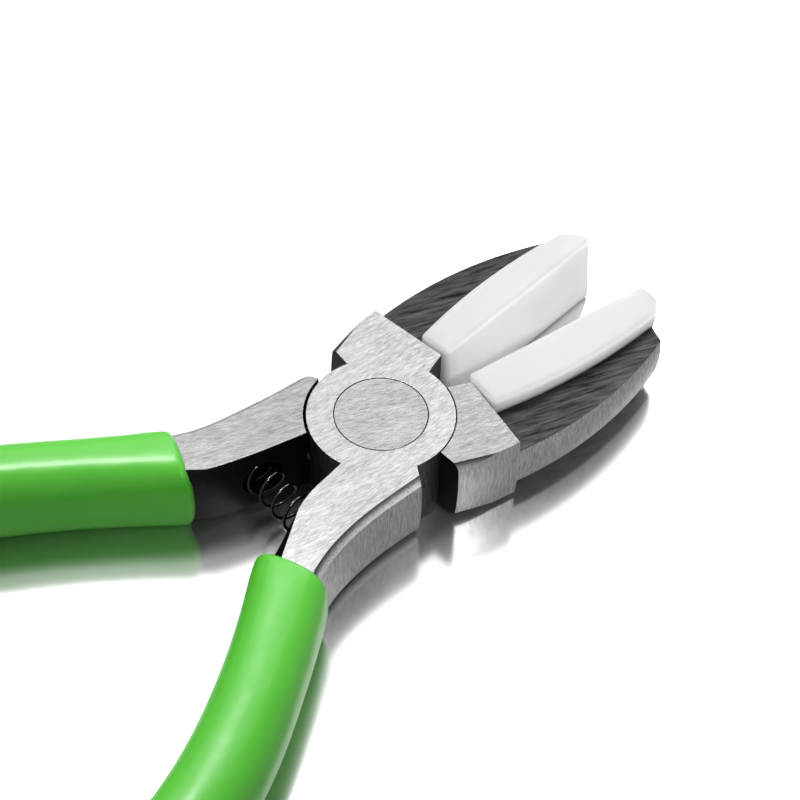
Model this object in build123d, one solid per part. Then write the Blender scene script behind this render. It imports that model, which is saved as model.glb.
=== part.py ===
# Lap-joint flat-nose pliers for jewellery work, with two nylon jaw pads and dipped grips.
#
# Frame: millimetres, +X towards the jaw tips, +Z up, origin on the pivot axis at the flat underside
# of the joint. The part is written half open, as it lies with its spring relaxed.
#
# Each half is drawn closed, in its own frame: the jaw on +Y, the handle on -Y and its pivot disc on
# top. The upper half is used as drawn. The lower half is turned over about X, which puts its disc
# underneath, its jaw on -Y and its handle on +Y. Both are then swung open about the pivot.
from build123d import *
import math
import os

# ---- driving dimensions ----
JOINT_T = 9.0               # thickness of the joint, and of the handle roots
DISC_R = 8.5                # pivot disc
LAP_GAP = 0.06              # running clearance between the two discs' faces
JAW_SIDE_GAP = 0.14         # gap between a disc and the other half's shoulder
HANDLE_SIDE_GAP = 0.35      # gap between a disc and the other half's handle root
WALL_BULGE = 0.3            # how far the forged side walls swell at half height

UPPER_OPEN = 7.85           # how far each half is swung open at rest, in degrees
LOWER_OPEN = 6.25

SHOULDER_FRONT = 11.3       # where the shoulder ends and the jaw plate begins
SHOULDER_CHAMFER = 0.65     # at the rear of the shoulder's outer edges, running out towards the jaw
HANDLE_CHAMFER = 0.75       # along the handle's outer edges
JAW_STEP = 1.85             # how far the jaw plate is set down from the joint's faces
JAW_INNER_Y = 2.9           # the jaw plate's inner edge, inside the nylon pad

PAD_OVERLAP = 0.5           # how far the nylon stands above and below the joint's faces
PAD_HEEL_X = 11.55
PAD_HEEL_RELIEF = 0.5       # the pads meet at their tips first, and stay apart at the heel
FACE_DRAFT = 4.6            # moulding draft on the working face, in degrees
BACK_DRAFT = 2.0            # moulding draft on the outer side
FRONT_DRAFT = 2.5           # moulding draft on the front end
PAD_EDGE_R = 0.75
UPPER_PAD_FIT = (1.6, -0.45, 0.35)  # each pad's own seat: tilt in degrees, outward and forward shift
LOWER_PAD_FIT = (-1.6, 0.45, 0.0)
UPPER_PAD_FRONT = 38.5      # the upper pad reaches a little further forward
LOWER_PAD_FRONT = 37.8

DOWEL_R = 0.8               # blind dowels that locate a pad on the jaw plate's inner edge
DOWEL_LENGTH = 3.0
DOWEL_IN_STEEL = 1.8
DOWEL_X = (17.0, 29.0)

RIVET_HEAD_R = 5.4
RIVET_HEAD_T = 2.2
RIVET_SHANK_R = 3.0
RIVET_FOOT_R = 4.4
RUNNING_FIT = 0.04          # radial clearance of the upper half round the rivet
RIVET_EDGE = 0.1            # broken edge that leaves a fine ring round the flush head

SPRING_X = -14.0
SPRING_R = 2.0              # mean radius of the coil
SPRING_WIRE_R = 0.22
SPRING_TURNS = 5.0
SPRING_START = 90           # where the wire's first end points, in degrees round the coil
SEAT_R = 2.5                # blind seats in the handles' inner faces that hold the spring's ends
SEAT_DEPTH = 1.6
UPPER_SEAT_Y = -4.55        # where each handle's inner face stands at the spring
LOWER_SEAT_Y = 3.78

# Sections along the handle's path: fraction, slant in degrees, height, width, corner radius. The
# slant lets the grip's mouth reach further forward on the handle's inner side.
TANG_STATIONS = [
    (0.0, 15, 8.0, 5.0, 0.9), (0.06, 8, 8.0, 5.6, 0.9), (0.3, 0, 7.2, 5.6, 0.9), (0.6, 0, 6.2, 4.8, 0.9),
    (0.93, 0, 5.2, 3.8, 0.9),
]
GRIP_STATIONS = [
    (0.0, 15, 10.3, 8.6, 2.5), (0.015, 15, 11.0, 9.2, 2.9), (0.06, 8, 10.8, 8.9, 3.1),
    (0.14, 0, 10.9, 8.9, 3.6), (0.32, 0, 11.0, 9.2, 4.0), (0.55, 0, 11.0, 9.4, 4.1),
    (0.78, 0, 11.0, 9.2, 4.1), (0.92, 0, 10.6, 8.6, 3.8), (0.97, 0, 9.0, 7.2, 3.2), (1.0, 0, 4.8, 3.6, 1.5),
]

MID_Z = JOINT_T / 2
LAP_Z = MID_Z + LAP_GAP / 2

# Plan of each handle, closed: the inner and outer edges of its bare root, the corner where the root
# meets the pivot disc, and the centre line of the gripped part. Near the grip the inner edge falls
# away in a slope that passes through one point of the top face. The upper half's handle has a sharper
# set behind the joint, and splays more.
UPPER_HANDLE = {
    "inner": [(-8.6, -1.9), (-12.4, -2.2), (-15.3, -2.8), (-18.2, -3.9), (-22.6, -5.3)],
    "inner_slope": (-21.8, -6.4),
    "outer": [(-3.95, -9.9), (-9.2, -9.45), (-15.2, -9.6), (-19.0, -10.35), (-23.2, -12.3)],
    "corner": (-2.75, -8.2),
    "path": [(-22.0, -7.9), (-29.3, -12.55), (-37.0, -16.8), (-44.7, -20.1),
             (-56.1, -22.6), (-70.0, -23.1), (-92.0, -20.4)],
}
LOWER_HANDLE = {
    "inner": [(-8.6, -1.9), (-12.4, -2.1), (-16.4, -2.4), (-19.4, -2.8), (-23.8, -3.8)],
    "inner_slope": (-23.4, -4.6),
    "outer": [(-4.9, -9.75), (-9.2, -9.3), (-15.6, -9.05), (-19.6, -9.35), (-23.8, -10.9)],
    "corner": (-3.9, -8.85),
    "path": [(-22.6, -6.9), (-31.0, -11.1), (-39.5, -15.1), (-48.0, -18.5),
             (-59.0, -21.6), (-72.0, -22.9), (-92.0, -20.4)],
}


# ---- helpers ----

def barrel(outline, low, high):
    """A forged plate: outline(grow) is its plan, which swells by the bulge at half height."""
    levels = [(low, 0), ((low + high) / 2, WALL_BULGE), (high, 0)]
    return loft([Pos(0, 0, z) * outline(grow) for z, grow in levels])


def cylinder(radius, low, high):
    return Pos(0, 0, low) * Cylinder(radius, high - low, align=(Align.CENTER, Align.CENTER, Align.MIN))


def outer_side(point, along, outward):
    """A large block on the outer side of the plane through a point that holds both directions."""
    plane = Plane(origin=point, x_dir=along, z_dir=Vector(along).cross(Vector(outward)))
    return plane * Box(60, 60, 10, align=(Align.CENTER, Align.CENTER, Align.MIN))


def turned_over(shape):
    return Pos(0, 0, JOINT_T) * Rot(180, 0, 0) * shape


def both_faces(tool):
    """The same cut on the top and on the underside."""
    return tool + mirror(tool, Plane.XY.offset(MID_Z))


# ---- the two steel halves ----

def shoulder_outline(grow):
    rear_in, rear_out = (2.7, 8.0), (3.25, 10.95 + grow)
    front_out, front_in = (SHOULDER_FRONT - 0.15, 11.6 + grow), (SHOULDER_FRONT + 0.15, 1.2)
    return make_face([
        Polyline([(0, 0), rear_in, rear_out]),
        ThreePointArc(rear_out, (7.2, 11.5 + grow), front_out),
        Polyline([front_out, front_in, (9.8, 0.85), (8.3, 0.4), (0, 0)]),
    ])


def shoulder():
    """The full-thickness block between the disc and the jaw."""
    block = barrel(shoulder_outline, 0, JOINT_T) - cylinder(DISC_R + JAW_SIDE_GAP, 0, LAP_Z)
    start = (3.2, 10.95 - SHOULDER_CHAMFER, JOINT_T)
    run_out = (5.1, 1.3, 0)
    chamfer_cut = outer_side(start, run_out, (0, 1.0, -0.87))
    return block - both_faces(chamfer_cut)


def jaw_outline(grow):
    rear, tip = (8.0, 11.35 + grow), (35.6, 6.2 + grow)
    return make_face([
        Line((8.0, JAW_INNER_Y), rear),
        ThreePointArc(rear, (22.6, 10.65 + grow), tip),
        Polyline([tip, (36.3, JAW_INNER_Y - 0.5), (SHOULDER_FRONT, JAW_INNER_Y), (8.0, JAW_INNER_Y)]),
    ])


def jaw_plate():
    """The thinner plate that carries the nylon pad."""
    plate = barrel(jaw_outline, JAW_STEP, JOINT_T - JAW_STEP)
    return plate - cylinder(DISC_R + JAW_SIDE_GAP, 0, LAP_Z)


def handle_outline(handle, grow):
    inner = [(x, y + grow) for x, y in handle["inner"]]
    outer = [(x, y - grow) for x, y in handle["outer"]]
    return make_face([
        Polyline([inner[1], inner[0], (-4.0, -1.0), (0, -4.0), handle["corner"], outer[0], outer[1]]),
        Spline(outer[1:]),
        Line(outer[-1], inner[-1]),
        Spline(inner[:0:-1]),
    ])


def handle_root(handle):
    """The bare part of the handle, at full thickness, as far as just inside the grip."""
    root = barrel(lambda grow: handle_outline(handle, grow), 0, JOINT_T)
    outer_edges = [
        edge for edge in root.edges().filter_by_position(Axis.Y, -20, -8.6)
        if abs(edge.center().Z - MID_Z) > MID_Z - 0.1 and edge.length > 3 and edge.center().X > -22
    ]
    root = chamfer(outer_edges, HANDLE_CHAMFER)
    inner_slope = outer_side((*handle["inner_slope"], JOINT_T), (5.2, 3.0, 0), (-0.75, 1.3, -2.0))
    return root - both_faces(inner_slope) - cylinder(DISC_R + HANDLE_SIDE_GAP, 0, LAP_Z)


def along_path(handle, stations):
    """A bar lofted through rounded sections set along the handle's path."""
    path = Spline([(x, y, MID_Z) for x, y in handle["path"]])
    sections = []
    for fraction, slant, height, width, corner_r in stations:
        normal = (path % fraction).rotate(Axis.Z, -slant)
        plane = Plane(origin=path @ fraction, x_dir=(0, 0, 1), z_dir=normal)
        sections.append(plane * RectangleRounded(height, width, corner_r))
    return loft(sections)


def steel_half(handle):
    """One half as forged: pivot disc, shoulder, jaw plate and handle, before its holes."""
    disc = cylinder(DISC_R, LAP_Z, JOINT_T)
    tang = along_path(handle, TANG_STATIONS)
    return disc + shoulder() + jaw_plate() + handle_root(handle) + tang


def rivet_profile(head_r, shank_r, edge):
    """Half of the rivet's outline, from its foot to its head."""
    foot = RIVET_FOOT_R - RIVET_SHANK_R
    head_z = JOINT_T - RIVET_HEAD_T
    return make_face(Polyline([
        (0, 0), (RIVET_FOOT_R - edge, 0), (RIVET_FOOT_R, edge), (shank_r, edge + foot), (shank_r, head_z),
        (head_r, head_z), (head_r, JOINT_T - edge), (head_r - edge, JOINT_T), (0, JOINT_T),
    ], close=True))


def rivet():
    return revolve(Plane.XZ * rivet_profile(RIVET_HEAD_R, RIVET_SHANK_R, RIVET_EDGE), Axis.Z)


def rivet_hole_in_upper():
    shank = cylinder(RIVET_SHANK_R + RUNNING_FIT, 0, JOINT_T)
    head = cylinder(RIVET_HEAD_R + RUNNING_FIT, JOINT_T - RIVET_HEAD_T - RUNNING_FIT, JOINT_T)
    return shank + head


# ---- nylon pads and what locates them ----

def pad_fit(tilt, outward, forward):
    return Pos(forward, outward, 0) * Rot(0, 0, tilt)


def pad_outline(front_x, z):
    """The pad's plan at one height: drafted inward on the working face and on the outer side."""
    face = (z - MID_Z) * math.tan(math.radians(FACE_DRAFT))
    back = -(z - MID_Z) * math.tan(math.radians(BACK_DRAFT))
    front = front_x - (z - MID_Z) * math.tan(math.radians(FRONT_DRAFT))
    heel_face, front_face = (PAD_HEEL_X, PAD_HEEL_RELIEF + face), (front, face)
    heel_back, front_back = (PAD_HEEL_X, 5.2 + back), (front - 1.6, 4.2 + back)
    return Pos(0, 0, z) * make_face([
        Line(heel_face, front_face),
        Line(front_face, (front, 2.4 + back)),
        Line((front, 2.4 + back), front_back),
        ThreePointArc(front_back, (20.5, 5.75 + back), heel_back),
        Line(heel_back, heel_face),
    ])


def pad_block(front_x):
    low, high = -PAD_OVERLAP, JOINT_T + PAD_OVERLAP
    block = loft([pad_outline(front_x, low), pad_outline(front_x, high)], ruled=True)
    return fillet(block.edges(), PAD_EDGE_R)


def dowels():
    """Two steel dowels, half in the jaw plate's inner edge and half in the nylon."""
    pins = []
    for x in DOWEL_X:
        edge_y = JAW_INNER_Y - 0.5 * (x - SHOULDER_FRONT) / (36.3 - SHOULDER_FRONT)
        start = edge_y - (DOWEL_LENGTH - DOWEL_IN_STEEL)
        pin = Cylinder(DOWEL_R, DOWEL_LENGTH, align=(Align.CENTER, Align.CENTER, Align.MIN))
        pins.append(Pos(x, start, MID_Z) * Rot(-90, 0, 0) * pin)
    return Compound(pins)


# ---- spring ----

def spring_seat(face_y, into):
    """A blind round seat, cut into a handle's inner face."""
    length = SEAT_DEPTH + 3
    centre = face_y + into * (SEAT_DEPTH - length / 2)
    return Pos(SPRING_X, centre, MID_Z) * Rot(90, 0, 0) * Cylinder(SEAT_R, length)


def spring():
    low = UPPER_SEAT_Y - SEAT_DEPTH + SPRING_WIRE_R
    high = LOWER_SEAT_Y + SEAT_DEPTH - SPRING_WIRE_R
    coil = Helix(pitch=(high - low) / SPRING_TURNS, height=high - low, radius=SPRING_R)
    wire = sweep(Plane(origin=coil @ 0, z_dir=coil % 0) * Circle(SPRING_WIRE_R), path=coil)
    return Pos(SPRING_X, low, MID_Z) * Rot(-90, 0, 0) * Rot(0, 0, SPRING_START) * wire


# ---- grips ----

def grip(handle, steel):
    """The dipped sleeve: a closed skin over the tang, open only at its mouth."""
    return along_path(handle, GRIP_STATIONS) - steel


# ---- assembly ----

def build():
    upper_steel = steel_half(UPPER_HANDLE)
    lower_steel = steel_half(LOWER_HANDLE)
    pins = dowels()
    swing_upper = Rot(0, 0, UPPER_OPEN)
    swing_lower = Rot(0, 0, -LOWER_OPEN)

    def place_lower(shape):
        return swing_lower * turned_over(shape)

    upper_pad = pad_fit(*UPPER_PAD_FIT) * pad_block(UPPER_PAD_FRONT) - upper_steel - pins
    lower_pad = pad_fit(*LOWER_PAD_FIT) * pad_block(LOWER_PAD_FRONT) - lower_steel - pins
    pin = rivet()
    upper = swing_upper * (upper_steel - pins - rivet_hole_in_upper())
    lower = place_lower(lower_steel - pins) - pin
    return {
        "upper_half": upper - spring_seat(UPPER_SEAT_Y, -1),
        "lower_half": lower - spring_seat(LOWER_SEAT_Y, 1),
        "pivot_rivet": pin,
        "return_spring": spring(),
        "upper_jaw_pad": swing_upper * upper_pad,
        "lower_jaw_pad": place_lower(lower_pad),
        "upper_pad_dowels": swing_upper * pins,
        "lower_pad_dowels": place_lower(pins),
        "upper_grip": swing_upper * grip(UPPER_HANDLE, upper_steel),
        "lower_grip": place_lower(grip(LOWER_HANDLE, lower_steel)),
    }


def main():
    os.makedirs("parts", exist_ok=True)
    for name, shape in build().items():
        export_step(shape, f"parts/{name}.step")


if __name__ == "__main__":
    main()
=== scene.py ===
import math

import bmesh
import bpy
from mathutils import Matrix, Vector


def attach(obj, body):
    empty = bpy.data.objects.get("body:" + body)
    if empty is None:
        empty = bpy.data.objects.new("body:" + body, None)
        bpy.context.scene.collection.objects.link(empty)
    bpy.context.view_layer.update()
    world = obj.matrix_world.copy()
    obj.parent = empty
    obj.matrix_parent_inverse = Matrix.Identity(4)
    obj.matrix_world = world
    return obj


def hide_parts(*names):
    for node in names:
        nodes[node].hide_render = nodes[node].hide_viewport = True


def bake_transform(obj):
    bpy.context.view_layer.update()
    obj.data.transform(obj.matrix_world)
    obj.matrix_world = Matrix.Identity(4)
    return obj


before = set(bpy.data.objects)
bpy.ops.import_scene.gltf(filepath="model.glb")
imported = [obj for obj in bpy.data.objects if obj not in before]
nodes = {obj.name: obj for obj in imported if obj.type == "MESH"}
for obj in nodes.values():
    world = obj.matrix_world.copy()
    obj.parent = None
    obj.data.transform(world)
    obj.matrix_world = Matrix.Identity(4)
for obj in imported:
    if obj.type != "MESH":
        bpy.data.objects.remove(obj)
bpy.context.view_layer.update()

scene = bpy.context.scene

MM = 0.001
MID_Z = 4.5                 # mid height of the joint, in mm
UPPER_OPEN = 7.85           # how far each half is swung open at rest, in degrees
LOWER_OPEN = -6.25


# ---------------------------------------------------------------- node helpers

class Nodes:
    """Builds one material's node tree."""

    def __init__(self, name):
        self.material = bpy.data.materials.new(name)
        self.material.use_nodes = True
        self.tree = self.material.node_tree
        self.tree.nodes.clear()
        output = self.add("ShaderNodeOutputMaterial")
        self.shader = self.add("ShaderNodeBsdfPrincipled")
        self.link(self.shader.outputs[0], output.inputs["Surface"])
        coords = self.add("ShaderNodeTexCoord")
        place = self.add("ShaderNodeVectorMath", operation="SCALE")
        self.link(coords.outputs["Object"], place.inputs[0])
        place.inputs["Scale"].default_value = 1 / MM
        self.place = place.outputs[0]              # in mm
        self.normal = coords.outputs["Normal"]

    def add(self, kind, **settings):
        node = self.tree.nodes.new(kind)
        for key, value in settings.items():
            setattr(node, key, value)
        return node

    def link(self, output, socket):
        self.tree.links.new(output, socket)

    def feed(self, value, socket):
        """Sets a socket to a plain value, or links it to another node's output."""
        if isinstance(value, (int, float, tuple)):
            socket.default_value = value
        else:
            self.link(value, socket)

    def math(self, operation, a, b=0.0, c=0.0, clamp=False):
        node = self.add("ShaderNodeMath", operation=operation, use_clamp=clamp)
        for value, socket in zip((a, b, c), node.inputs):
            self.feed(value, socket)
        return node.outputs[0]

    def times(self, a, b):
        return self.math("MULTIPLY", a, b)

    def inverse(self, value):
        return self.math("SUBTRACT", 1.0, value)

    def vary(self, value, middle, contrast, clamp=True):
        """Middle, plus contrast times what a noise has above 0.5."""
        above = self.math("SUBTRACT", value, 0.5)
        return self.math("MULTIPLY_ADD", above, contrast, middle, clamp=clamp)

    def step(self, value, low, high):
        """0 at low, 1 at high, smooth between."""
        node = self.add("ShaderNodeMapRange", interpolation_type="SMOOTHSTEP")
        self.feed(value, node.inputs["Value"])
        node.inputs["From Min"].default_value = low
        node.inputs["From Max"].default_value = high
        return node.outputs["Result"]

    def spread(self, value, low, high):
        """Maps 0..1 to low..high."""
        node = self.add("ShaderNodeMapRange")
        self.feed(value, node.inputs["Value"])
        node.inputs["To Min"].default_value = low
        node.inputs["To Max"].default_value = high
        return node.outputs["Result"]

    def split(self, vector):
        node = self.add("ShaderNodeSeparateXYZ")
        self.link(vector, node.inputs[0])
        return node.outputs

    def mix(self, amount, a, b):
        """Mixes two numbers."""
        node = self.add("ShaderNodeMix", data_type="FLOAT")
        self.feed(amount, node.inputs[0])
        self.feed(a, node.inputs[2])
        self.feed(b, node.inputs[3])
        return node.outputs[0]

    def mix_colour(self, amount, a, b):
        node = self.add("ShaderNodeMix", data_type="RGBA")
        self.feed(amount, node.inputs[0])
        self.feed((*a, 1.0), node.inputs[6])
        self.feed((*b, 1.0), node.inputs[7])
        return node.outputs[2]

    def grey(self, value):
        node = self.add("ShaderNodeCombineColor")
        for socket in node.inputs:
            self.feed(value, socket)
        return node.outputs[0]

    def noise(self, scale, turn=0.0, detail=4.0, roughness=0.6, shift=(0, 0, 0)):
        """Noise with scale cycles per mm, for all axes or one each, turned about Z by some degrees."""
        turned = self.add("ShaderNodeVectorRotate", rotation_type="Z_AXIS")
        self.link(self.place, turned.inputs["Vector"])
        turned.inputs["Angle"].default_value = math.radians(turn)
        stretched = self.add("ShaderNodeVectorMath", operation="MULTIPLY_ADD")
        self.link(turned.outputs[0], stretched.inputs[0])
        stretched.inputs[1].default_value = scale if isinstance(scale, tuple) else (scale, scale, scale)
        stretched.inputs[2].default_value = shift
        node = self.add("ShaderNodeTexNoise")
        self.link(stretched.outputs[0], node.inputs["Vector"])
        node.inputs["Scale"].default_value = 1.0
        node.inputs["Detail"].default_value = detail
        node.inputs["Roughness"].default_value = roughness
        return node.outputs["Fac"]

    def bump(self, height, depth_mm, strength, normal=None):
        node = self.add("ShaderNodeBump")
        self.feed(height, node.inputs["Height"])
        node.inputs["Distance"].default_value = depth_mm * MM
        node.inputs["Strength"].default_value = strength
        if normal is not None:
            self.link(normal, node.inputs["Normal"])
        return node.outputs[0]

    def soft_edges(self, radius_mm):
        """Shades sharp edges as if they were rounded."""
        node = self.add("ShaderNodeBevel")
        node.samples = 4
        node.inputs["Radius"].default_value = radius_mm * MM
        return node.outputs[0]

    def set(self, **values):
        """Feeds the shader's inputs, named with underscores for spaces."""
        for key, value in values.items():
            self.feed(value, self.shader.inputs[key.replace("_", " ")])


# ---------------------------------------------------------------- steel

# How far the grinding marks turn from +X, in degrees clockwise.
UPPER_TURN, RIVET_TURN, LOWER_TURN = 1, 19, 15

# The noises in the grinding marks: cycles per mm, extra turn, roughness, shift and weight.
GRINDING = [
    ((0.80, 6.5, 0.7), 0, 0.75, (0, 0, 0), 0.45),       # fine lines that run with the belt
    ((0.90, 5.0, 0.7), 17, 0.75, (4, 9, 2), 0.22),      # lines that cross them at a low angle
    ((0.90, 5.6, 0.7), -15, 0.75, (8, 1, 5), 0.18),     # and at the opposite angle
    ((0.14, 0.9, 0.7), 4, 0.55, (7, 3, 1), 0.15),       # broad bands
]

# Where the forged halves' finishes lie, in mm. Radii are from the pivot axis.
CROSSING_X = 2.0            # each half's outer side changes from +Y to -Y here, or back
NOSE_X = 34.5               # walls in front of this are ground, whichever way they face
GROUND_R = 9.3              # walls nearer the pivot than this are left unground
DISC_R = 8.57               # walls nearer the pivot than this are the joint disc's
RECESS_Z = 4.2              # level faces nearer mid height are milled
CHAMFER_PAINTED_SHADE_Z = (4.45, 3.8)     # heights off the middle between which a chamfer's painted shade goes from dark to bright

# How level a surface is goes from 0 on a wall to 1 on a face; chamfers lie between these two.
WALL_LEVEL = (0.3, 0.45)
FACE_LEVEL = (0.88, 0.96)
OUTWARD = (0.1, 0.5)        # how far a wall must face outwards to be ground

# Greys as (middle, contrast) of a noise, or as (low, high) for the black scale.
UPPER_GREY, LOWER_GREY = 0.36, 0.275
FACE_CONTRAST = 3.8         # as a multiple of the half's grey
PATCH_CONTRAST = 0.09
GROUND_WALL_GREY = (0.55, 1.4)
DISC_WALL_GREY = (0.09, 0.40)
MILLED_GREY = (0.036, 0.19)
BLACK_GREY = (0.010, 0.030)
CHAMFER_PAINTED_SHADE = (0.25, 1.9)  # painted shade: a chamfer's grey over that of a ground wall, dark at the face's edge to bright towards mid height
JAW_CHAMFER_PAINTED_SHADE = 0.15     # more painted shade on the chamfers in front of the pivot

# Roughness, from the noise's dark parts to its bright ones.
FACE_ROUGH = (0.34, 0.18)
GROUND_WALL_ROUGH = (0.5, 0.3)
MILLED_ROUGH = (0.55, 0.3)
CHAMFER_ROUGH, BLACK_ROUGH = 0.42, 0.5

STEEL_BUMP = (0.02, 0.8)    # depth in mm and strength
STEEL_EDGE_R = 0.12         # broken edges of the steel, in mm

RIVET_GREY = (0.295, 1.25)
RIVET_PATCH_CONTRAST = 0.08
RIVET_ROUGH = (0.34, 0.2)

# The wire and the dowels go from low to high with one noise each.
WIRE_GREY, WIRE_ROUGH, WIRE_BUMP = (0.04, 0.16), (0.12, 0.22), (0.01, 0.2)
DOWEL_GREY, DOWEL_ROUGH = (0.4, 0.6), (0.3, 0.45)


def streaks(m, turn):
    """Belt grinding marks: fine lines that mostly run one way, crossed at a low angle by others."""
    lines = 0.0
    for scale, extra_turn, roughness, shift, weight in GRINDING:
        layer = m.noise(scale, turn + extra_turn, detail=3, roughness=roughness, shift=shift)
        lines = m.math("MULTIPLY_ADD", layer, weight, lines)
    return lines


def forged_steel(name, side, turn, brightness):
    """Ground on its faces and outer walls, milled in the recess, and left black on its inner walls; its
    chamfers carry painted shade.
    """
    m = Nodes(name)
    x, y, z = m.split(m.place)
    _, ny, nz = m.split(m.normal)

    level = m.math("ABSOLUTE", nz)
    face = m.step(level, *FACE_LEVEL)
    wall = m.inverse(m.step(level, *WALL_LEVEL))
    chamfer = m.times(m.inverse(face), m.inverse(wall))
    off_mid = m.math("ABSOLUTE", m.math("SUBTRACT", z, MID_Z))
    recess = m.times(face, m.math("LESS_THAN", off_mid, RECESS_Z))

    from_pivot = m.math("SQRT", m.math("ADD", m.times(x, x), m.times(y, y)))
    outward = m.times(m.math("SIGN", m.math("SUBTRACT", x, CROSSING_X)), float(side))
    outer = m.step(m.times(ny, outward), *OUTWARD)
    outer = m.math("MAXIMUM", outer, m.math("GREATER_THAN", x, NOSE_X))
    outer = m.times(outer, m.math("GREATER_THAN", from_pivot, GROUND_R))
    disc_wall = m.times(wall, m.math("LESS_THAN", from_pivot, DISC_R))
    ground_wall = m.times(wall, outer)
    ground_chamfer = m.times(chamfer, outer)

    top = streaks(m, turn)
    upright = m.noise((6.0, 6.0, 0.5), detail=5, roughness=0.7)
    patches = m.noise(0.22, detail=2, shift=(3, 8, 2))
    milled = m.noise((0.22, 2.4, 1), 16, detail=6, roughness=0.72)
    soot = m.noise(1.2)

    face_grey = m.vary(top, brightness, FACE_CONTRAST * brightness, clamp=False)
    face_grey = m.vary(patches, face_grey, PATCH_CONTRAST)
    wall_grey = m.vary(upright, *GROUND_WALL_GREY)
    # Painted shade: a chamfer is darker next to the face, as a rounded edge would look, and darker again
    # in front of the pivot.
    chamfer_painted_shade = m.spread(m.step(off_mid, *CHAMFER_PAINTED_SHADE_Z), *CHAMFER_PAINTED_SHADE)
    chamfer_grey_with_painted_shade = m.math("MULTIPLY", wall_grey, chamfer_painted_shade, clamp=True)
    in_front = m.math("GREATER_THAN", x, 0.0)
    chamfer_grey_with_painted_shade = m.times(chamfer_grey_with_painted_shade, m.spread(in_front, 1.0, JAW_CHAMFER_PAINTED_SHADE))

    value = m.mix(disc_wall, m.spread(soot, *BLACK_GREY), m.vary(upright, *DISC_WALL_GREY))
    value = m.mix(ground_wall, value, wall_grey)
    value = m.mix(ground_chamfer, value, chamfer_grey_with_painted_shade)
    value = m.mix(face, value, face_grey)
    value = m.mix(recess, value, m.vary(milled, *MILLED_GREY))

    rough = m.mix(wall, CHAMFER_ROUGH, BLACK_ROUGH)
    rough = m.mix(ground_wall, rough, m.spread(upright, *GROUND_WALL_ROUGH))
    rough = m.mix(face, rough, m.spread(top, *FACE_ROUGH))
    rough = m.mix(recess, rough, m.spread(milled, *MILLED_ROUGH))

    height = m.mix(wall, top, upright)
    height = m.mix(recess, height, milled)
    m.set(Base_Color=m.grey(value), Metallic=1.0, Roughness=rough,
          Normal=m.bump(height, *STEEL_BUMP, normal=m.soft_edges(STEEL_EDGE_R)))
    return m.material


def rivet_steel():
    m = Nodes("rivet_steel")
    top = streaks(m, RIVET_TURN)
    patches = m.noise(0.3, detail=2, shift=(1, 2, 9))
    value = m.vary(top, *RIVET_GREY, clamp=False)
    value = m.vary(patches, value, RIVET_PATCH_CONTRAST)
    m.set(Base_Color=m.grey(value), Metallic=1.0, Roughness=m.spread(top, *RIVET_ROUGH),
          Normal=m.bump(top, *STEEL_BUMP))
    return m.material


def spring_wire():
    m = Nodes("spring_wire")
    drawn = m.noise(3)
    m.set(Base_Color=m.grey(m.spread(drawn, *WIRE_GREY)), Metallic=1.0,
          Roughness=m.spread(drawn, *WIRE_ROUGH), Normal=m.bump(drawn, *WIRE_BUMP))
    return m.material


def dowel_steel():
    m = Nodes("dowel_steel")
    turned = m.noise(4)
    m.set(Base_Color=m.grey(m.spread(turned, *DOWEL_GREY)), Metallic=1.0,
          Roughness=m.spread(turned, *DOWEL_ROUGH))
    return m.material


# ---------------------------------------------------------------- plastics

# The pads' sides and top are painted as lit and shaded copies of one nylon: sides lighter, top darker.
NYLON_SIDE_PAINTED_LIGHT = (0.84, 0.90)              # low to high; painted light, lighter than the top's grey so the sides read as lit
NYLON_TOP_PAINTED_SHADE = (0.53, 0.57)
NYLON_TOP_LEVEL = (0.35, 0.9)               # how level a surface is where the sides' painted light gives way to the top's painted shade
NYLON_ROUGH = (0.5, 0.36)
NYLON_WAVES = (0.12, 0.5)                   # bumps: depth in mm and strength
NYLON_GRAIN = (0.012, 0.25)
NYLON_EDGE_R = 0.5                          # in mm

VINYL_DARK = (0.098, 0.550, 0.036)
VINYL_LIGHT = (0.114, 0.605, 0.045)
VINYL_ROUGH = (0.28, 0.44)
VINYL_RIPPLE = (0.5, 0.5)
VINYL_PEEL = (0.01, 0.25)


def nylon():
    m = Nodes("nylon")
    cloud = m.noise(0.18, detail=3)
    grain = m.noise(6, roughness=0.7)
    scuffs = m.noise((0.35, 3.5, 1.0), 12, detail=5, roughness=0.7)
    waves = m.noise(0.30, detail=2, roughness=0.5, shift=(6, 2, 8))
    nz = m.split(m.normal)[2]
    facing_up = m.step(m.math("ABSOLUTE", nz), *NYLON_TOP_LEVEL)
    # Painted light: walls get a lighter grey and level faces a darker one.
    shade = m.mix(facing_up, m.spread(cloud, *NYLON_SIDE_PAINTED_LIGHT), m.spread(cloud, *NYLON_TOP_PAINTED_SHADE))
    uneven = m.bump(waves, *NYLON_WAVES, normal=m.soft_edges(NYLON_EDGE_R))
    m.set(Base_Color=m.grey(shade), Roughness=m.mix(scuffs, *NYLON_ROUGH), Specular_IOR_Level=0.3,
          Subsurface_Weight=1.0, Subsurface_Scale=0.003, Subsurface_Radius=(1.0, 1.0, 1.0),
          Normal=m.bump(grain, *NYLON_GRAIN, normal=uneven))
    return m.material


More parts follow.
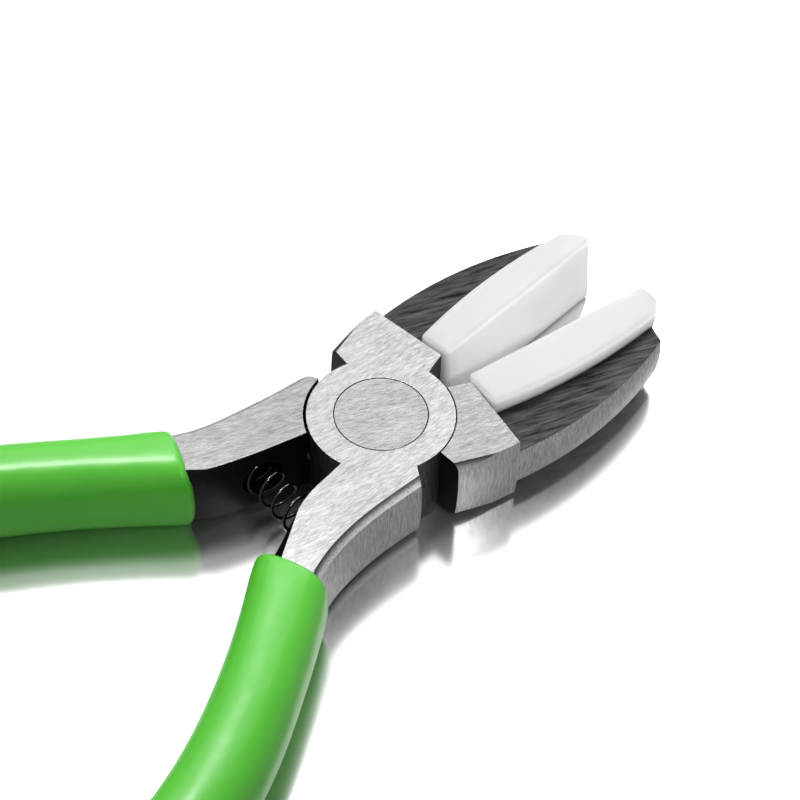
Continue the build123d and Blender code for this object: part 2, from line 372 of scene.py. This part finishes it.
def vinyl():
    m = Nodes("dipped_vinyl")
    cloud = m.noise(0.05, detail=3)
    ripple = m.noise(0.16, detail=2, roughness=0.45, shift=(5, 1, 2))
    peel = m.noise(1.6, detail=2, roughness=0.5)
    smudge = m.noise(0.45, detail=5, roughness=0.65, shift=(2, 9, 4))
    m.set(Base_Color=m.mix_colour(cloud, VINYL_DARK, VINYL_LIGHT), Roughness=m.mix(smudge, *VINYL_ROUGH),
          Specular_IOR_Level=0.5, Coat_Weight=0.2, Coat_Roughness=0.2,
          Subsurface_Weight=0.12, Subsurface_Scale=0.0015, Subsurface_Radius=(0.4, 1.0, 0.3),
          Normal=m.bump(peel, *VINYL_PEEL, normal=m.bump(ripple, *VINYL_RIPPLE)))
    return m.material


def dress(obj, material):
    obj.data.materials.clear()
    obj.data.materials.append(material)


# ---------------------------------------------------------------- mesh helpers

def spline(points, steps):
    """Points along a smooth open curve through the given ones."""
    out = []
    ends = [points[0] * 2 - points[1]] + list(points) + [points[-1] * 2 - points[-2]]
    for i in range(len(points) - 1):
        p0, p1, p2, p3 = ends[i:i + 4]
        for k in range(steps + (i == len(points) - 2)):
            t = k / steps
            out.append(0.5 * ((2 * p1) + (p2 - p0) * t + (2 * p0 - 5 * p1 + 4 * p2 - p3) * t * t
                              + (3 * p1 - p0 - 3 * p2 + p3) * t ** 3))
    return out


def resample(points, fractions):
    """Points at fractions of a polyline's length, with unit directions, and that length."""
    lengths = [0.0]
    for a, b in zip(points, points[1:]):
        lengths.append(lengths[-1] + (b - a).length)
    out = []
    for f in fractions:
        target = f * lengths[-1]
        i = 0
        while i < len(points) - 2 and lengths[i + 1] < target:
            i += 1
        t = (target - lengths[i]) / (lengths[i + 1] - lengths[i])
        out.append((points[i].lerp(points[i + 1], t), (points[i + 1] - points[i]).normalized()))
    return out, lengths[-1]


def between(table, at):
    """Smooth interpolation in a table of (position, value, value...)."""
    for low, high in zip(table, table[1:]):
        if at <= high[0]:
            t = (at - low[0]) / (high[0] - low[0])
            t = t * t * (3 - 2 * t)
            return [a + (b - a) * t for a, b in zip(low[1:], high[1:])]
    return list(table[-1][1:])


def mesh_object(name, verts, faces, smooth=True):
    mesh = bpy.data.meshes.new(name)
    mesh.from_pydata([tuple(v) for v in verts], [], faces)
    mesh.update()
    for polygon in mesh.polygons:
        polygon.use_smooth = smooth
    obj = bpy.data.objects.new(name, mesh)
    scene.collection.objects.link(obj)
    return obj


def tube(name, rings):
    """A closed skin over rings of equally many points, with its normals facing out."""
    around = len(rings[0])
    faces = []
    for i in range(len(rings) - 1):
        for k in range(around):
            a, b = i * around + k, i * around + (k + 1) % around
            faces.append((a, b, b + around, a + around))
    last = (len(rings) - 1) * around
    faces.append(tuple(reversed(range(around))))
    faces.append(tuple(range(last, last + around)))
    obj = mesh_object(name, [point for points in rings for point in points], faces)
    bm = bmesh.new()
    bm.from_mesh(obj.data)
    bmesh.ops.recalc_face_normals(bm, faces=bm.faces)
    bm.to_mesh(obj.data)
    bm.free()
    return obj


def subdivide(obj, levels):
    modifier = obj.modifiers.new("subdivide", "SUBSURF")
    modifier.levels = levels
    modifier.render_levels = levels


# ---------------------------------------------------------------- grips

# The sleeves' centre lines with the pliers closed, in mm; the lower one is drawn turned over.
UPPER_PATH = [(-22.0, -7.9), (-29.3, -12.55), (-37.0, -16.8), (-44.7, -20.1),
              (-56.1, -22.6), (-70.0, -23.1), (-92.0, -20.4)]
LOWER_PATH = [(-22.6, -6.9), (-31.0, -11.1), (-39.5, -15.1), (-48.0, -18.5),
              (-59.0, -21.6), (-72.0, -22.9), (-92.0, -20.4)]
PATH_STEPS = 12

# Along the path: fraction, slant in degrees, height, width, squareness of the section.
GRIP_STATIONS = [
    (0.000, 15, 11.0, 9.1, 3.0), (0.030, 12, 11.0, 9.1, 2.9), (0.060, 8, 10.8, 8.9, 2.7),
    (0.140, 0, 10.8, 8.8, 2.45), (0.320, 0, 11.0, 9.2, 2.35), (0.550, 0, 11.0, 9.4, 2.3),
    (0.780, 0, 11.0, 9.2, 2.35), (0.920, 0, 10.6, 8.6, 2.3), (1.0, 0, 10.0, 8.0, 2.2),
]
RING_POINTS = 28

# The rounded mouth: how far ahead of the path each ring lies, as a fraction of its length, and its size.
LIP = [(-0.009, 0.66), (-0.010, 0.76), (-0.0075, 0.88), (-0.002, 0.97)]
LIP_BULGE = 0.3             # how far the mouth bulges forward at mid height, in mm
LIP_HALF_HEIGHT = 5.0

# Fractions of the path that carry a ring, along the sleeve and round its domed end.
BODY_AT = [0.0, 0.012, 0.03, 0.06, 0.10, 0.15, 0.21, 0.28, 0.36, 0.45, 0.54, 0.63, 0.72, 0.80, 0.86, 0.91]
DOME_AT = [0.935, 0.955, 0.972, 0.986, 0.995, 1.0]
DOME_START, DOME_LENGTH = 0.91, 0.092


def ring(centre, along, slant, height, width, square):
    """One section's points, from the outer side over the top."""
    normal = Matrix.Rotation(math.radians(-slant), 3, "Z") @ along
    across = Vector((-normal.y, normal.x, 0)).normalized()
    points = []
    for k in range(RING_POINTS):
        a = 2 * math.pi * k / RING_POINTS
        c, s = math.cos(a), math.sin(a)
        reach = (abs(c) ** square + abs(s) ** square) ** (-1 / square)
        sideways = across * (c * reach * width / 2)
        upward = Vector((0, 0, s * reach * height / 2))
        points.append(centre + sideways + upward)
    return points


def grip_rings(path):
    """A sleeve's rings in mm: rounded lip, a body that follows the handle, and a domed end."""
    way = spline([Vector((x, y, MID_Z)) for x, y in path], PATH_STEPS)
    stations, length = resample(way, BODY_AT + DOME_AT)
    start, ahead = stations[0]
    slant, height, width, square = between(GRIP_STATIONS, 0)
    rings = []
    for offset, grow in LIP:
        centre = start + ahead * offset * length
        lip_ring = ring(centre, ahead, slant, height * grow, width * grow, square)
        rings.append([p - ahead * LIP_BULGE * max(0.0, 1 - ((p.z - MID_Z) / LIP_HALF_HEIGHT) ** 2)
                      for p in lip_ring])
    for f, (centre, along) in zip(BODY_AT + DOME_AT, stations):
        slant, height, width, square = between(GRIP_STATIONS, f)
        past = max(0.0, f - DOME_START) / DOME_LENGTH
        dome = math.sqrt(max(0.0, 1 - past ** 2))
        rings.append(ring(centre, along, slant, height * dome, width * dome, square))
    return rings


def grip(name, node, path, swing, flip):
    """A dipped vinyl sleeve, swung open with its half."""
    turn = Matrix.Rotation(math.radians(swing), 4, "Z")
    if flip:
        turn = turn @ Matrix.Translation((0, 0, 2 * MID_Z)) @ Matrix.Rotation(math.pi, 4, "X")
    obj = tube(name, [[turn @ p * MM for p in points] for points in grip_rings(path)])
    subdivide(obj, 2)
    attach(obj, node.replace("grip", "body"))
    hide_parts(node)
    return obj


# ---------------------------------------------------------------- spring

SPRING_X, SPRING_R, WIRE_R = -14.0, 2.0, 0.22
SPRING_LOW, SPRING_HIGH = -5.93, 5.16       # the ends' Y, in the handles' seats
SPRING_TURNS = 5.0
SPRING_PHASE = 0.25         # where the first turn starts, in turns
PITCH_WAVE = 0.004          # how uneven the pitch is, as a fraction of the spring's length
TURN_STEPS = 36
WIRE_POINTS = 10


def coil():
    """The return spring: a wire tube whose two ends stand in the handles' seats."""
    steps = int(SPRING_TURNS * TURN_STEPS)
    centres = []
    for i in range(steps + 1):
        t = i / steps
        rise = t - math.sin(4 * math.pi * t) * PITCH_WAVE
        y = SPRING_LOW + (SPRING_HIGH - SPRING_LOW) * rise
        a = -2 * math.pi * (SPRING_TURNS * t + SPRING_PHASE)
        centres.append(Vector((SPRING_X + SPRING_R * math.cos(a), y, MID_Z + SPRING_R * math.sin(a))))
    angles = [2 * math.pi * k / WIRE_POINTS for k in range(WIRE_POINTS)]
    rings = []
    for i, c in enumerate(centres):
        ahead = (centres[min(i + 1, steps)] - centres[max(i - 1, 0)]).normalized()
        out = Vector((c.x - SPRING_X, 0, c.z - MID_Z)).normalized()
        side = ahead.cross(out).normalized()
        rings.append([(c + (out * math.cos(a) + side * math.sin(a)) * WIRE_R) * MM for a in angles])
    obj = tube("return_spring_coil", rings)
    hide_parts("return_spring")
    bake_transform(obj)
    return obj


# ---------------------------------------------------------------- stage

GRIP_DROP, PAD_DROP = 1.08, 0.5             # how far each hangs below the joint, in mm
REST_SPAN = 75.0                            # from where the pads rest to where the grips do, in mm
FLOOR_AT = (0.025, 0, -0.00052)             # under the pads, in m
FLOOR_HALF = 3.0                            # half its side, in m
FLOOR_DARK = (0.755, 0.755, 0.755)
FLOOR_LIGHT = (0.78, 0.78, 0.78)

WORLD_STRENGTH = 0.28

CAMERA_AT = (-83.12, -100.69, 161.99)       # in mm
AZIMUTH, ELEVATION, ROLL = -40.454, 49.062, 2.43        # in degrees
SENSOR_WIDTH, FOCAL_LENGTH = 36, 79.96                  # in mm


def floor():
    """A glossy white surface that the pads and the grips rest on."""
    slope = math.atan((GRIP_DROP - PAD_DROP) / REST_SPAN)
    corners = [(-1, -1), (1, -1), (1, 1), (-1, 1)]
    obj = mesh_object("floor", [(x * FLOOR_HALF, y * FLOOR_HALF, 0) for x, y in corners],
                      [(0, 1, 2, 3)], smooth=False)
    obj.matrix_world = Matrix.Translation(FLOOR_AT) @ Matrix.Rotation(-slope, 4, "Y")
    m = Nodes("floor")
    cloud = m.noise(0.02, detail=2)
    m.set(Base_Color=m.mix_colour(cloud, FLOOR_DARK, FLOOR_LIGHT), Metallic=0.88, Roughness=0.17, IOR=1.6)
    dress(obj, m.material)


def softbox(name, place, aim, size, power, spread=180):
    """A rectangular light, in metres and watts, whose beam is spread degrees wide."""
    data = bpy.data.lights.new(name, "AREA")
    data.shape = "RECTANGLE"
    data.size, data.size_y = size
    data.energy = power
    data.spread = math.radians(spread)
    obj = bpy.data.objects.new(name, data)
    scene.collection.objects.link(obj)
    obj.location = place
    obj.rotation_euler = (Vector(aim) - Vector(place)).to_track_quat("-Z", "Y").to_euler()


def lights():
    world = bpy.data.worlds.new("studio")
    scene.world = world
    world.use_nodes = True
    background = world.node_tree.nodes["Background"]
    background.inputs["Color"].default_value = (1, 1, 1, 1)
    background.inputs["Strength"].default_value = WORLD_STRENGTH
    centre = (-0.01, 0, 0)
    jaws = (0.027, 0.003, 0.005)
    softbox("overhead_key", place=(0.03, 0.20, 0.58), aim=centre, size=(0.12, 0.12), power=1.7)
    softbox("back_panel", place=(0.29, 0.35, 0.53), aim=centre, size=(0.95, 0.72), power=2.75)
    softbox("highlight_strip", place=(0.35, 0.165, 0.32), aim=centre, size=(0.25, 0.09), power=0.4)
    softbox("jaw_fill", place=(0.0, -0.20, 0.25), aim=jaws, size=(0.03, 0.03), power=0.009, spread=24)


def camera():
    """At the picture's viewing angle: about 49 degrees up, over the near handle."""
    data = bpy.data.cameras.new("camera")
    data.sensor_width = SENSOR_WIDTH
    data.lens = FOCAL_LENGTH
    data.clip_start, data.clip_end = 0.01, 20
    obj = bpy.data.objects.new("camera", data)
    scene.collection.objects.link(obj)
    azimuth, elevation, roll = (math.radians(angle) for angle in (AZIMUTH, ELEVATION, ROLL))
    back = Vector((math.sin(azimuth) * math.cos(elevation), -math.cos(azimuth) * math.cos(elevation),
                   math.sin(elevation)))
    level = Vector((math.cos(azimuth), math.sin(azimuth), 0))
    right = level * math.cos(roll) + back.cross(level) * math.sin(roll)
    up = back.cross(right)
    place = Vector(CAMERA_AT) * MM
    obj.matrix_world = Matrix.Translation(place) @ Matrix((right, up, back)).transposed().to_4x4()
    scene.camera = obj


# ---------------------------------------------------------------- the object

camera()
lights()
floor()
scene.view_settings.view_transform = "Standard"

dress(nodes["upper_half"], forged_steel("forged_steel_upper", 1, UPPER_TURN, UPPER_GREY))
dress(nodes["lower_half"], forged_steel("forged_steel_lower", -1, LOWER_TURN, LOWER_GREY))
dress(nodes["pivot_rivet"], rivet_steel())
pad_nylon = nylon()
pin_steel = dowel_steel()
for half in ("upper", "lower"):
    dress(nodes[f"{half}_jaw_pad"], pad_nylon)
    dress(nodes[f"{half}_pad_dowels"], pin_steel)

green = vinyl()
dress(grip("upper_grip_sleeve", "upper_grip", UPPER_PATH, UPPER_OPEN, False), green)
dress(grip("lower_grip_sleeve", "lower_grip", LOWER_PATH, LOWER_OPEN, True), green)
dress(coil(), spring_wire())
